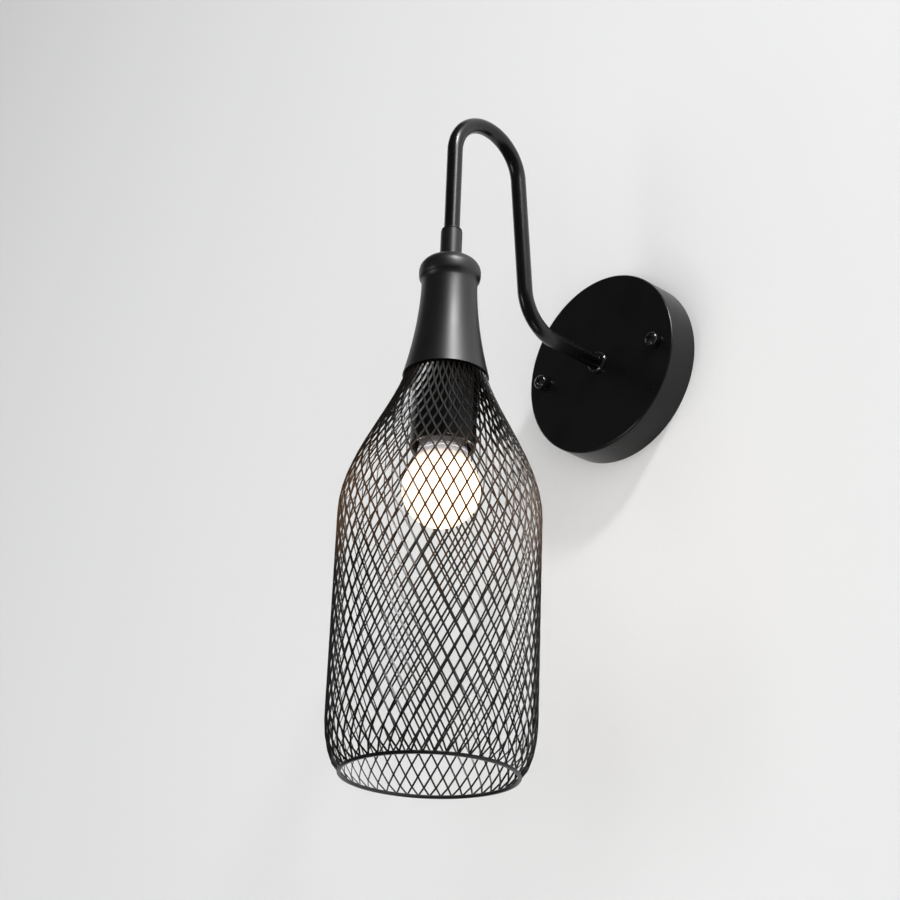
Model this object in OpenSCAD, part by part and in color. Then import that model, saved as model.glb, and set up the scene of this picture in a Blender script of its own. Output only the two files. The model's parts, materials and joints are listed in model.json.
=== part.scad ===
// Cage wall light: a wire-mesh bottle shade under a hooked tube arm on a round wall canopy.
// Millimetres. The wall is the plane y = 0 and the light stands out from it towards -Y.
// +Z is up. The origin is the middle of the canopy, on the wall.

/* [Wall canopy] */
// Diameter of the canopy
canopy_d = 120; // [112:1:140]
// Depth of the canopy, from the wall to its face
canopy_depth = 22; // [20:1:30]
// Thickness of the canopy's sheet
canopy_wall = 1.2; // [0.8:0.1:1.6]
// Radius of the canopy's front edge
canopy_edge_r = 1.5; // [1.5:0.5:4]
// Distance between the two canopy screws
screw_spacing = 94; // [90:1:98]
// Thread diameter of the canopy screws
screw_d = 4; // [3:0.5:4]
// Head diameter of the canopy screws
screw_head_d = 9.4; // [8:0.1:10]
// Head height of the canopy screws
screw_head_h = 6.5; // [4:0.5:8]

/* [Wall bracket] */
// Thickness of both bracket straps
strap_t = 2; // [1.5:0.5:2.5]
// Width of the upright wall strap
wall_strap_w = 16; // [14:1:20]
// Distance between the middles of the two box-screw slots
slot_spacing = 76; // [70:1:80]
// Length of a slot, end to end
slot_len = 20; // [12:1:22]
// Width of a slot
slot_w = 4.5; // [4:0.1:5]
// Width of the level strap that carries the canopy
canopy_strap_w = 16; // [12:1:18]
// How far the ends of the level strap stand off its middle
strap_rise = 7; // [5:1:8]

/* [Arm] */
// Distance of the shade's axis from the wall
reach = 155; // [145:1:180]
// Height of the top of the hook's centre line above the canopy's middle
hook_height = 124; // [112:1:150]
// Centre-line radius of both bends
bend_r = 28; // [24:1:31]
// Lean of the rear leg away from the wall, in degrees
leg_lean = 6.5; // [0:0.5:10]
// Outside diameter of the tube
tube_d = 9.5; // [9:0.5:11]
// Wall of the tube
tube_wall = 1; // [0.8:0.1:1.2]
// Diameter of the ring where the tube meets the canopy
ferrule_d = 14.5; // [13:0.5:18]
// Thickness of that ring
ferrule_h = 3; // [2:0.5:5]
// Diameter of the collar at the lower end of the arm
collar_d = 13; // [12.5:0.5:16]
// Length of the collar
collar_h = 19.5; // [14:0.5:24]

/* [Neck] */
// Height of the neck's seat, where the collar stands, above the canopy's middle
seat_z = 20.5; // [15:0.5:30]
// Height of the neck, from its seat to its rim
neck_h = 78.5; // [75:0.5:90]
// Widest diameter of the bead at the neck's head
bead_d = 37; // [36:0.2:42]
// Drop from the seat to the widest part of the bead
bead_drop = 10.5; // [8:0.5:14]
// Power of the bead's dome: 2 is an ellipse, more is flatter on top
bead_power = 2.3; // [2:0.1:3]
// Drop from the widest part to the crease under the bead
bead_tuck = 6; // [4:0.5:8]
// Diameter of the waist under the bead
waist_d = 33.2; // [33:0.2:35]
// Diameter of the neck's rim
neck_rim_d = 50.6; // [50:0.2:56]
// Power of the flare from the waist to the rim
flare_power = 1.85; // [1.7:0.05:2]
// Thickness of the neck's sheet
neck_wall = 1; // [0.8:0.1:1.2]

/* [Cage] */
// Largest diameter of the mesh, at the middle of its strands
cage_d = 115; // [105:1:130]
// Height of the mesh, from its top edge to the rim ring
cage_h = 239.5; // [220:0.5:280]
// How far the mesh reaches up inside the neck
cage_tuck = 4; // [3:0.5:5]
// Height of the shoulder, from the mesh's top edge to its full width
shoulder_h = 92; // [80:1:110]
// Steepness with which the shoulder leaves the neck
shoulder_slope = 0.7; // [0.5:0.05:0.9]
// Height of the curl that draws the mesh in at the bottom
curl_h = 31; // [20:1:45]
// Diameter of the rim ring, at the middle of its wire
rim_d = 97; // [90:1:104]
// Diameter of the rim ring's wire
rim_wire_d = 3.2; // [2.5:0.1:4]
// Number of meshes around
mesh_around = 26; // [18:1:27]
// Number of rows of strands
mesh_rows = 20; // [14:1:21]
// Width of a strand
strand_w = 1.4; // [1:0.1:1.6]
// Thickness of a strand
strand_t = 1.4; // [1:0.1:1.6]
// Height of the band that holds the mesh in the neck
band_h = 6; // [5:0.5:8]
// Thickness of that band
band_t = 1; // [0.8:0.1:1.2]

/* [Lamp holder] */
// Diameter of the holder
holder_d = 38.5; // [38:0.1:39]
// Height of the holder, with its cap
holder_h = 79; // [77:0.5:81]
// How far the holder's mouth hangs below the neck's rim
holder_drop = 45; // [42:0.5:50]
// Wall of the holder
holder_wall = 1.8; // [1.5:0.1:2]
// Depth from the mouth to the terminal block
socket_depth = 31; // [30:0.5:33]
// Height of the terminal block
block_h = 14; // [10:0.5:15]

/* [Bulb] */
// Diameter of the globe
globe_d = 45; // [42:0.5:55]
// Length of the bulb
bulb_len = 78; // [74:0.5:90]
// Diameter of the bulb's collar, where the globe starts
bulb_collar_d = 29; // [28:0.5:31]
// Length from the contact to the collar's lower edge
bulb_collar_drop = 33.5; // [33:0.5:35]
// Pitch of the screw base, seven turns to the inch
thread_pitch = 3.629; // [3.5:0.001:3.7]
// Crest diameter of the screw base
thread_d = 26.2; // [26:0.05:26.3]
// Depth of the thread, crest to root
thread_depth = 0.85; // [0.7:0.05:0.9]
// Turns that free the bulb
thread_turns = 5.5; // [5:0.5:5.5]

/* [Leads] */
// Diameter of a lead over its insulation
lead_d = 2.2; // [1.8:0.1:2.4]
// Distance between the middles of the two leads in the tube
lead_pitch = 3; // [2.8:0.1:3.2]

/* [Clearances] */
// Radial gap of a tube or screw in its hole or nut
fit_gap = 0.05; // [0.03:0.01:0.1]
// Radial gap of a screw or tube in a plain hole
hole_gap = 0.25; // [0.2:0.05:0.3]
// Radial gap between the bulb's thread and its socket
thread_gap = 0.3; // [0.25:0.05:0.35]
// Gap between parts that only stand beside each other
side_gap = 0.3; // [0.2:0.1:0.4]

/* [Hidden] */
$fn = 64;

// Colours
black_metal = [0.07, 0.07, 0.075];
black_gloss = [0.03, 0.03, 0.03];
zinc = [0.72, 0.73, 0.74];
brass = [0.80, 0.65, 0.32];
ceramic = [0.90, 0.89, 0.85];
lamp_white = [1.0, 0.93, 0.80];

// Sheet, washers and nuts
washer_t = 0.8;
nut_h = 3;
nut_across = 14;
flange_t = 1;

// Radii that several pieces share
tube_r = tube_d / 2;
bore_r = tube_r - tube_wall;
tube_hole_r = tube_r + hole_gap;
tube_nut_r = tube_r + fit_gap;
collar_r = collar_d / 2;
screw_r = screw_d / 2 - fit_gap;
lead_r = lead_d / 2;

// Places along the canopy's axis, as distances from the wall
canopy_inside = canopy_depth - canopy_wall;
washer_face = canopy_inside - washer_t;
lug_face = washer_face - washer_t;
nut_face = lug_face - nut_h;
tube_start = nut_face - 3;
strap_front = 2 * strap_t;
strap_end_back = strap_t + strap_rise;
strap_end_front = strap_end_back + strap_t;
strap_half = screw_spacing / 2 + 6;
strap_flat = screw_spacing / 2 - 14;
strap_step = screw_spacing / 2 - 6;
strap_nut_across = 8;
strap_nut_h = 3.2;

// The arm's centre line, in the plane of distance from the wall and height
hook_centre = [reach - bend_r, hook_height - bend_r];
leg_top = hook_centre + bend_r * [-cos(leg_lean), sin(leg_lean)];
leg_foot_z = bend_r * (1 - sin(leg_lean));
leg_len = (leg_top.y - leg_foot_z) / cos(leg_lean);
leg_foot = [leg_top.x - leg_len * sin(leg_lean), leg_foot_z];
foot_centre = [leg_foot.x - bend_r * cos(leg_lean), bend_r];

// Heights down the shade's axis
tube_end = seat_z + collar_h / 2 + 1;
nipple_top = seat_z + collar_h / 2 - 1;
neck_rim_z = seat_z - neck_h;
bead_z = seat_z - bead_drop;
crease_z = bead_z - bead_tuck;
cage_top_z = neck_rim_z + cage_tuck;
cage_bottom_z = cage_top_z - cage_h;
holder_rim_z = neck_rim_z - holder_drop;
cap_top_z = holder_rim_z + holder_h;
cap_h = 22;
cap_bottom_z = cap_top_z - cap_h;
block_bottom_z = holder_rim_z + socket_depth;
block_top_z = block_bottom_z + block_h;
nipple_end = cap_top_z - 10;

// The bead is a full-bellied half ellipse that ends where the collar stands
bead_r = bead_d / 2;
waist_r = waist_d / 2;
bead_start = acos(pow(collar_r / bead_r, bead_power / 2));
bead_rise = bead_drop / pow(sin(bead_start), 2 / bead_power);

// Radius of the neck's outside at a height between its crease and its rim
function flare_r(z) = waist_r
    + (neck_rim_d / 2 - waist_r) * pow((crease_z - z) / (crease_z - neck_rim_z), flare_power);

// Radius of the mesh at its top edge: inside the neck, against its sheet
cage_top_r = flare_r(cage_top_z) - neck_wall - side_gap - strand_t / 2;

// Radius of the mesh at a height, from its top edge to its rim
function shoulder_r(t) = cage_top_r + (cage_d / 2 - cage_top_r)
    * (shoulder_slope * (t * t * t - 2 * t * t + t) + 3 * t * t - 2 * t * t * t);
function curl_r(t) = rim_d / 2 + (cage_d - rim_d) / 2 * (sqrt(1 - t * t) - curl_end) / (1 - curl_end);
function cage_r(z) = let (down = cage_top_z - z, up = z - cage_bottom_z)
    down < shoulder_h ? shoulder_r(down / shoulder_h)
    : up < curl_h ? curl_r((curl_h - up) / curl_h * curl_reach)
    : cage_d / 2;
// The curl is the upper part of a quarter ellipse, which stops short of turning level
curl_reach = 0.97;
curl_end = sqrt(1 - curl_reach * curl_reach);

// The mesh's outline by length along it, so that its rows are evenly spaced
outline_steps = 120;
outline = [for (i = [0:outline_steps]) let (z = cage_top_z - cage_h * i / outline_steps) [cage_r(z), z]];
outline_at = [for (i = 0, s = 0; i <= outline_steps;
    s = s + (i < outline_steps ? norm(outline[i + 1] - outline[i]) : 0), i = i + 1) s];
outline_len = outline_at[outline_steps];
height_table = [for (i = [0:outline_steps]) [outline_at[i], outline[i].y]];
radius_table = [for (i = [0:outline_steps]) [outline_at[i], outline[i].x]];
function mesh_point(s, angle, lift = 0) = let (
    r = lookup(s, radius_table),
    z = lookup(s, height_table),
    ahead = [lookup(s + 1, radius_table), lookup(s + 1, height_table)],
    behind = [lookup(s - 1, radius_table), lookup(s - 1, height_table)],
    along = (ahead - behind) / norm(ahead - behind),
    out = r - lift * along.y)
    [out * cos(angle), out * sin(angle), z + lift * along.x];

// Socket and bulb
holder_r = holder_d / 2;
holder_bore_r = holder_r - holder_wall;
contact_drop = 1.2;
bulb_tip_z = block_bottom_z - contact_drop;
bulb_end_z = bulb_tip_z - bulb_len;
globe_z = bulb_end_z + globe_d / 2;
tip_h = 2.2;
insulator_h = 2.6;
base_top_z = bulb_tip_z - tip_h - insulator_h;
base_h = thread_turns * thread_pitch;
base_bottom_z = base_top_z - base_h;
collar_edge_z = bulb_tip_z - bulb_collar_drop;
base_bore_r = thread_d / 2 - thread_depth - 0.6;
shell_r = thread_d / 2 + thread_gap + 0.8;
shell_bottom_z = base_bottom_z;
shell_flange_r = 8.5;
shell_flange_t = 0.8;

// Terminals, as places in plan from the shade's axis
live_x = -5;
neutral_x = 10.5;
terminal_y = 5.5;
plate_t = 0.8;
plate_half_w = 2.4;
rivet_shank_r = 1.2;
rivet_head_r = 2;
rivet_head_h = 0.7;
terminal_screw_r = 1.5;
terminal_head_r = 2.75;
terminal_head_h = 2;

// Moves what is drawn along +Z to point out from the wall
module from_wall() rotate([90, 0, 0]) children();
// Lays a drawing of distance from the wall and height into the arm's plane
module arm_plane() rotate([90, 0, -90]) children();
module on_shade_axis(z = 0) translate([0, -reach, z]) children();

module ring(outer, inner) difference() {
    circle(r = outer);
    circle(r = inner);
}

module nut(across, height, bore) linear_extrude(height) difference() {
    circle(r = across / 2 / cos(30), $fn = 6);
    circle(r = bore);
}

// A barrel-shaped screw head, flat side at z = 0, with a crowned front and a cross cut into it
module cross_head(r, height, crown, recess) difference() {
    rotate_extrude() polygon([
        [0, 0], [r, 0],
        for (i = [0:11]) [r * pow(cos(90 * i / 12), 0.5), height - crown * (1 - sin(90 * i / 12))],
        [0, height]
    ]);
    for (turn = [0, 90])
        rotate([0, 0, turn]) translate([-recess / 2, -recess / 8, height - crown])
            cube([recess, recess / 4, height]);
}

// ---- Wall canopy -------------------------------------------------------------------------

module canopy() {
    outer = canopy_d / 2;
    inner_edge = canopy_edge_r - canopy_wall / 2;
    color(black_metal) from_wall() difference() {
        rotate_extrude() difference() {
            rounded_pan(outer, canopy_depth, canopy_edge_r);
            translate([0, -1]) rounded_pan(outer - canopy_wall, canopy_inside + 1, inner_edge);
        }
        translate([0, 0, canopy_inside - 1]) cylinder(r = tube_hole_r, h = canopy_wall + 2);
        for (side = [-1, 1])
            translate([side * screw_spacing / 2, 0, canopy_inside - 1])
                cylinder(r = screw_d / 2 + hole_gap, h = canopy_wall + 2);
    }
}

// Half the section of a pan: square at the wall, rounded at its front edge
module rounded_pan(r, depth, edge) union() {
    square([r, depth - edge]);
    square([r - edge, depth]);
    translate([r - edge, depth - edge]) circle(r = edge);
}

screw_crown = 2.4;
screw_recess = 5.2;

module canopy_screws() color(black_gloss) for (side = [-1, 1])
    translate([side * screw_spacing / 2, 0, 0]) from_wall() {
        translate([0, 0, canopy_depth]) cross_head(screw_head_d / 2, screw_head_h, screw_crown, screw_recess);
        translate([0, 0, strap_end_back - strap_nut_h])
            cylinder(r = screw_r, h = canopy_depth - strap_end_back + strap_nut_h);
    }

// ---- Wall bracket ------------------------------------------------------------------------

rivet_r = 3;

module wall_strap() {
    half = slot_spacing / 2 + slot_len / 2 + 4;
    slot_run = (slot_len - slot_w) / 2;
    color(zinc) from_wall() linear_extrude(strap_t) difference() {
        translate([-wall_strap_w / 2, -half]) square([wall_strap_w, 2 * half]);
        circle(r = rivet_r + fit_gap);
        for (side = [-1, 1]) translate([0, side * slot_spacing / 2]) union() {
            translate([-slot_w / 2, -slot_run]) square([slot_w, 2 * slot_run]);
            for (end = [-1, 1]) translate([0, end * slot_run]) circle(d = slot_w);
        }
    }
}

module canopy_strap() {
    back = [
        [-strap_half, strap_end_back], [-strap_step, strap_end_back], [-strap_flat, strap_t],
        [strap_flat, strap_t], [strap_step, strap_end_back], [strap_half, strap_end_back]
    ];
    front = [for (i = [len(back) - 1:-1:0]) back[i] + [0, strap_t]];
    color(zinc) difference() {
        mirror([0, 1, 0]) translate([0, 0, -canopy_strap_w / 2])
            linear_extrude(canopy_strap_w) polygon(concat(back, front));
        from_wall() cylinder(r = rivet_r + fit_gap, h = strap_front + 1);
        translate([ground_x, 0, 0]) from_wall() cylinder(r = screw_r + fit_gap, h = strap_front + 1);
        for (side = [-1, 1]) translate([side * screw_spacing / 2, 0, 0])
            from_wall() cylinder(r = screw_r + fit_gap, h = strap_end_front + 1);
    }
}

// Clinch nuts behind the raised ends of the level strap
module strap_nuts() color(zinc) for (side = [-1, 1])
    translate([side * screw_spacing / 2, 0, 0]) from_wall()
        translate([0, 0, strap_end_back - strap_nut_h]) nut(strap_nut_across, strap_nut_h, screw_r + fit_gap);

module strap_rivet() color(zinc) from_wall() {
    cylinder(r = rivet_r, h = strap_front);
    translate([0, 0, strap_front]) cylinder(r1 = rivet_r + 1.5, r2 = rivet_r, h = 1.2);
}

ground_x = -22;
ground_head_r = 3.8;
ground_head_h = 2.4;

module ground_screw() color([0.18, 0.42, 0.22]) translate([ground_x, 0, 0]) from_wall() {
    translate([0, 0, 0.5]) cylinder(r = screw_r, h = strap_front - 0.5);
    translate([0, 0, strap_front]) difference() {
        cylinder(r = ground_head_r, h = ground_head_h);
        translate([-ground_head_r - 1, -0.5, ground_head_h - 1]) cube([2 * ground_head_r + 2, 1, 2]);
    }
}

// ---- Arm ---------------------------------------------------------------------------------

// Bending draws the tube in a little, and the straights taper over a short length to meet that
bend_draw = 0.1;
taper_h = 1;
bend_lap = 1;

// A straight piece of tube from a point of the arm's plane, along a direction in degrees.
// Before and after are the lengths of the tapers past its ends.
module straight(from, direction, length, r, before, after)
    translate([from.x, from.y, 0]) rotate([0, 0, direction]) rotate([0, 90, 0])
        rotate_extrude() polygon([
            [0, -before], if (before > 0) [r - 2 * bend_draw, -before], [r, 0],
            [r, length], if (after > 0) [r - 2 * bend_draw, length + after], [0, length + after]
        ]);

// A bend about a centre, from a start angle over a sweep. It runs a little into the straights.
module bend(centre, start, sweep, r)
    translate([centre.x, centre.y, 0]) rotate([0, 0, start - bend_lap])
        rotate_extrude(angle = sweep + 2 * bend_lap) translate([bend_r, 0]) circle(r = r - bend_draw);

module arm_tube() color(black_metal) arm_plane() difference() {
    arm_run(tube_r, 0);
    arm_run(bore_r, 1);
}

// The whole run of the arm as a solid round bar, drawn longer at both ends by an overrun
module arm_run(r, over) {
    straight([tube_start - over, 0], 0, foot_centre.x - tube_start + over, r, 0, taper_h);
    bend(foot_centre, -90, 90 - leg_lean, r);
    straight(leg_foot, 90 - leg_lean, leg_len, r, taper_h, taper_h);
    bend(hook_centre, 0, 180 - leg_lean, r);
    straight([reach, tube_end - over], 90, hook_centre.y - tube_end + over, r, 0, taper_h);
}

// A ring with a rounded front, round the tube on the canopy's face
module arm_ferrule() color(black_gloss) from_wall() translate([0, 0, canopy_depth])
    rotate_extrude() difference() {
        union() {
            square([ferrule_d / 2, ferrule_h / 2]);
            square([(ferrule_d - ferrule_h) / 2, ferrule_h]);
            translate([(ferrule_d - ferrule_h) / 2, ferrule_h / 2]) circle(d = ferrule_h);
        }
        translate([0, -1]) square([tube_nut_r, ferrule_h + 2]);
        translate([0, -ferrule_h]) square([ferrule_d, ferrule_h]);
    }

// A washer with teeth round its edge
washer_teeth = 12;
module arm_lock_washer() color(zinc) from_wall() translate([0, 0, washer_face])
    linear_extrude(washer_t) difference() {
        polygon([for (i = [0:4 * washer_teeth - 1])
            let (r = nut_across / 2 + (i % 4 < 2 ? 1.2 : 0), a = 90 * (i + 0.5) / washer_teeth)
            r * [cos(a), sin(a)]]);
        circle(r = tube_nut_r);
    }

lug_barrel_r = 2.1;
lug_barrel_top = -15;
lug_barrel_h = 6;
lug_lead_y = washer_face - lug_barrel_r;

module earth_lug() color(brass) {
    from_wall() translate([0, 0, lug_face]) linear_extrude(washer_t) difference() {
        union() {
            circle(r = nut_across / 2 + 0.8);
            translate([-lug_barrel_r, lug_barrel_top - 1]) square([2 * lug_barrel_r, -lug_barrel_top]);
        }
        circle(r = tube_nut_r);
    }
    translate([0, -lug_lead_y, lug_barrel_top - lug_barrel_h]) difference() {
        cylinder(r = lug_barrel_r, h = lug_barrel_h);
        translate([0, 0, -1]) cylinder(r = lead_r + fit_gap, h = lug_barrel_h - 1);
    }
}

module arm_lock_nut() color(zinc) from_wall() translate([0, 0, nut_face])
    nut(nut_across, nut_h, tube_nut_r);

bushing_wall = 0.7;
module tube_bushing() color([0.85, 0.85, 0.83]) from_wall() translate([0, 0, tube_start])
    difference() {
        union() {
            translate([0, 0, -flange_t]) cylinder(r = tube_r, h = flange_t);
            cylinder(r = bore_r - fit_gap, h = 5);
        }
        translate([0, 0, -flange_t - 1]) cylinder(r = bore_r - fit_gap - bushing_wall, h = flange_t + 7);
    }

module arm_collar() {
    edge = 1;
    color(black_metal) on_shade_axis(seat_z) rotate_extrude() difference() {
        union() {
            square([collar_r, collar_h - edge]);
            square([collar_r - edge, collar_h]);
            translate([collar_r - edge, collar_h - edge]) circle(r = edge);
        }
        translate([0, -1]) square([tube_nut_r, collar_h + 2]);
    }
}

module neck_nipple() color(zinc) on_shade_axis(nipple_end)
    linear_extrude(nipple_top - nipple_end) ring(tube_r, bore_r);

// ---- Neck --------------------------------------------------------------------------------

// Outline of the neck from its seat to its rim, drawn in from the outside by a thickness
function neck_outline(inset) = concat(
    [for (i = [0:9]) let (a = bead_start * (1 - i / 9))
        [(bead_r - inset) * pow(cos(a), 2 / bead_power),
            bead_z + (bead_rise - inset) * pow(sin(a), 2 / bead_power)]],
    [for (i = [1:5]) let (t = sin(90 * i / 5))
        [waist_r - inset + (bead_r - waist_r) * sqrt(1 - t * t), bead_z - bead_tuck * t]],
    [for (i = [1:14]) let (z = crease_z + (neck_rim_z - crease_z) * i / 14) [flare_r(z) - inset, z]]
);

module neck() {
    inside = [for (p = neck_outline(neck_wall)) if (p.y < seat_under_z - 0.1) p];
    color(black_metal) on_shade_axis() rotate_extrude() polygon(concat(
        [[tube_hole_r, seat_z]], neck_outline(0),
        [for (i = [len(inside) - 1:-1:0]) inside[i]],
        [[seat_flat_r, seat_under_z], [tube_hole_r, seat_under_z]]));
}

// Under the seat the neck is flat as far as the nut's corners
seat_flat_r = nut_across / 2 / cos(30) + side_gap;
seat_under_z = bead_z + (bead_rise - neck_wall)
    * pow(1 - pow(seat_flat_r / (bead_r - neck_wall), bead_power), 1 / bead_power);

module neck_nut() color(zinc) on_shade_axis(seat_under_z - nut_h) nut(nut_across, nut_h, tube_nut_r);

// ---- Lamp holder -------------------------------------------------------------------------

module holder_nut() color(zinc) on_shade_axis(cap_top_z) nut(nut_across, nut_h, tube_nut_r);

spigot_r = holder_bore_r - fit_gap;
spigot_wall = 1.9;

module holder_cap() {
    outside = [
        [9, 0], [12.5, -1.5], [15.2, -4.5], [17.2, -9.5], [holder_r - 0.4, -15],
        [holder_r, -18], [holder_r, -cap_h], [spigot_r, -cap_h], [spigot_r, block_top_z - cap_top_z]
    ];
    inside = [
        [spigot_r - spigot_wall, block_top_z - cap_top_z], [spigot_r - spigot_wall, -16],
        [14.6, -9.5], [12.6, -5.5], [9, -3], [tube_nut_r, -3]
    ];
    color(black_gloss) on_shade_axis(cap_top_z) rotate_extrude()
        polygon(concat([[tube_nut_r, 0]], outside, inside));
}

// The holder's outer body, with the ledge inside that carries the terminal block
ledge_h = 2;
ledge_r = 16.2;

module holder_body() color(black_gloss) on_shade_axis() difference() {
    translate([0, 0, holder_rim_z]) cylinder(r = holder_r, h = cap_bottom_z - holder_rim_z);
    translate([0, 0, block_bottom_z]) cylinder(r = holder_bore_r, h = block_h + cap_h);
    translate([0, 0, holder_rim_z - 1]) cylinder(r = ledge_r, h = socket_depth + 2);
    translate([0, 0, holder_rim_z - 1]) cylinder(r = holder_bore_r, h = socket_depth + 1 - ledge_h);
}

module terminal_block() color(ceramic) on_shade_axis(block_bottom_z) difference() {
    cylinder(r = holder_bore_r - side_gap, h = block_h);
    for (x = [live_x, neutral_x]) translate([x, 0, -1])
        cylinder(r = rivet_shank_r + fit_gap, h = block_h + 2);
    for (x = [live_x, neutral_x]) translate([x, terminal_y, block_h - 7])
        cylinder(r = terminal_screw_r + fit_gap, h = 8);
}

module terminal_plates() color(brass) on_shade_axis(block_top_z) linear_extrude(plate_t)
    for (x = [live_x, neutral_x]) difference() {
        translate([x - plate_half_w, -plate_half_w])
            square([2 * plate_half_w, terminal_y + 2 * plate_half_w]);
        translate([x, 0]) circle(r = rivet_shank_r + fit_gap);
        translate([x, terminal_y]) circle(r = terminal_screw_r + fit_gap);
    }

module terminal_screws() color(brass) on_shade_axis(block_top_z) for (x = [live_x, neutral_x])
    translate([x, terminal_y, 0]) {
        translate([0, 0, -6]) cylinder(r = terminal_screw_r, h = 6 + plate_t);
        translate([0, 0, plate_t]) difference() {
            cylinder(r = terminal_head_r, h = terminal_head_h);
            translate([-4, -0.4, terminal_head_h - 0.8]) cube([8, 0.8, 2]);
        }
    }

// Rivets through the block, closed flush with the plates: one holds the centre contact and
// one the flange of the screw shell
module holder_rivets() color(brass) on_shade_axis(block_bottom_z)
    for (pair = [[live_x, contact_t], [neutral_x, shell_flange_t]])
        translate([pair[0], 0, -pair[1]]) {
            cylinder(r = rivet_shank_r, h = block_h + plate_t + pair[1]);
            translate([0, 0, -rivet_head_h]) cylinder(r = rivet_head_r, h = rivet_head_h);
        }

// A leaf that is riveted under the block and bears on the middle of the bulb's base
contact_t = 0.4;
contact_w = 4.4;
module centre_contact() color(brass) on_shade_axis(block_bottom_z) difference() {
    root = live_x - 2.5;
    bent = live_x + 2.3;
    rotate([90, 0, 0]) translate([0, 0, -contact_w / 2]) linear_extrude(contact_w) polygon([
        [root, 0], [bent + 0.2, 0], [-0.6, contact_t - contact_drop],
        [tip_flat_r, contact_t - contact_drop], [tip_flat_r, -contact_drop], [-0.8, -contact_drop],
        [bent, -contact_t], [root, -contact_t]
    ]);
    translate([live_x, 0, -2]) cylinder(r = rivet_shank_r + fit_gap, h = 4);
}

// ---- Screw thread ------------------------------------------------------------------------

thread_sides = 24;
thread_steps = 4;

// How far the thread stands out at a turn and height, from 0 at its root to its full depth
function thread_wave(z, angle) = thread_depth * (0.5 + 0.5 * cos(360 * (z / thread_pitch) - angle));

// Closed solid between an outer and an inner set of rings, both listed from the top down
module ringed_solid(outer, inner) {
    n = thread_sides;
    rows_out = len(outer);
    rows = rows_out + len(inner);
    points = [for (row = concat(outer, inner)) each row];
    loops = concat([for (i = [0:rows_out - 1]) i], [for (i = [rows - 1:-1:rows_out]) i]);
    faces = [for (k = [0:len(loops) - 1], i = [0:n - 1])
        let (a = loops[k] * n, b = loops[(k + 1) % len(loops)] * n, j = (i + 1) % n)
        each [[a + i, a + j, b + j], [a + i, b + j, b + i]]];
    polyhedron(points, faces, convexity = 8);
}

function plain_ring(r, z) = [for (i = [0:thread_sides - 1])
    let (a = 360 * i / thread_sides) [r * cos(a), r * sin(a), z]];
function thread_ring(root, z) = [for (i = [0:thread_sides - 1])
    let (a = 360 * i / thread_sides, r = root + thread_wave(z, a)) [r * cos(a), r * sin(a), z]];
// Heights of the thread's rings, from the top down
function thread_heights(top, bottom) = let (
    n = ceil((top - bottom) * thread_steps / thread_pitch))
    [for (i = [0:n]) top + (bottom - top) * i / n];

thread_root = thread_d / 2 - thread_depth;

module screw_shell() {
    flange_z = block_bottom_z - shell_flange_t;
    color(brass) on_shade_axis() difference() {
        ringed_solid(
            [plain_ring(shell_r, block_bottom_z), plain_ring(shell_r, shell_bottom_z)],
            concat(
                [plain_ring(shell_flange_r, block_bottom_z), plain_ring(shell_flange_r, flange_z)],
                [for (z = thread_heights(flange_z, shell_bottom_z))
                    thread_ring(thread_root + thread_gap, z)]
            ));
        translate([neutral_x, 0, flange_z - 1])
            cylinder(r = rivet_shank_r + fit_gap, h = shell_flange_t + 2);
    }
}

// ---- Bulb --------------------------------------------------------------------------------

tip_flat_r = 2.6;
tip_r = 4.6;
module bulb_contact() color(zinc) on_shade_axis(bulb_tip_z) rotate_extrude() polygon([
    [0, 0], [tip_flat_r, 0], [4, -0.6], [tip_r, -1.5], [tip_r, -tip_h], [0, -tip_h]
]);

module bulb_insulator() color([0.08, 0.08, 0.10]) on_shade_axis(base_top_z)
    cylinder(r1 = thread_root, r2 = tip_r + 1.4, h = insulator_h);

module bulb_screw_base() color(zinc) on_shade_axis() ringed_solid(
    [for (z = thread_heights(base_top_z, base_bottom_z)) thread_ring(thread_root, z)],
    [plain_ring(base_bore_r, base_top_z), plain_ring(base_bore_r, base_bottom_z)]);

// The collar plugs into the screw base, and its step inside carries the board
board_r = bulb_collar_d / 2 - 1.6;
board_t = 1.6;
module bulb_collar() {
    plug_r = base_bore_r * cos(180 / thread_sides) - fit_gap;
    plug_h = 6;
    bore = plug_r - 1;
    step_z = collar_edge_z + board_t;
    color([0.72, 0.72, 0.73]) on_shade_axis() rotate_extrude() polygon([
        [bore, base_bottom_z + plug_h], [plug_r, base_bottom_z + plug_h],
        [plug_r, base_bottom_z], [thread_d / 2, base_bottom_z],
        [bulb_collar_d / 2, collar_edge_z + 2], [bulb_collar_d / 2, collar_edge_z],
        [board_r, collar_edge_z], [board_r, step_z], [board_r - 1.2, step_z],
        [bore, base_bottom_z - 1]
    ]);
}

module bulb_board() color([0.93, 0.93, 0.90]) on_shade_axis(collar_edge_z)
    linear_extrude(board_t) ring(board_r - fit_gap, 1.2);

// The globe is a ball that runs straight up to the bulb's collar where it touches the ball
module bulb_globe() {
    r = globe_d / 2;
    start = [bulb_collar_d / 2 - 0.3, collar_edge_z - globe_z];
    reach_out = norm(start);
    touch = atan2(start.y, start.x) - acos(r / reach_out);
    wall = 1.2;
    color(lamp_white) on_shade_axis(globe_z) rotate_extrude() difference() {
        bulb_half(start, r, touch);
        bulb_half(start - [wall, -0.1], r - wall, touch);
    }
}

module bulb_half(start, r, touch) polygon(concat(
    [[0, start.y], start],
    [for (i = [0:20]) let (a = touch + (-90 - touch) * i / 20) r * [cos(a), sin(a)]]));

// ---- Cage --------------------------------------------------------------------------------

// One solid net: each knot of the mesh has an outer and an inner point, and four points at
// the corners of the meshes beside it. Strands run between the knots of neighbouring rows.
OUT = 0;
IN = 1;
RIGHT = 2;
LEFT = 3;
UP = 4;
DOWN = 5;

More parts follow.
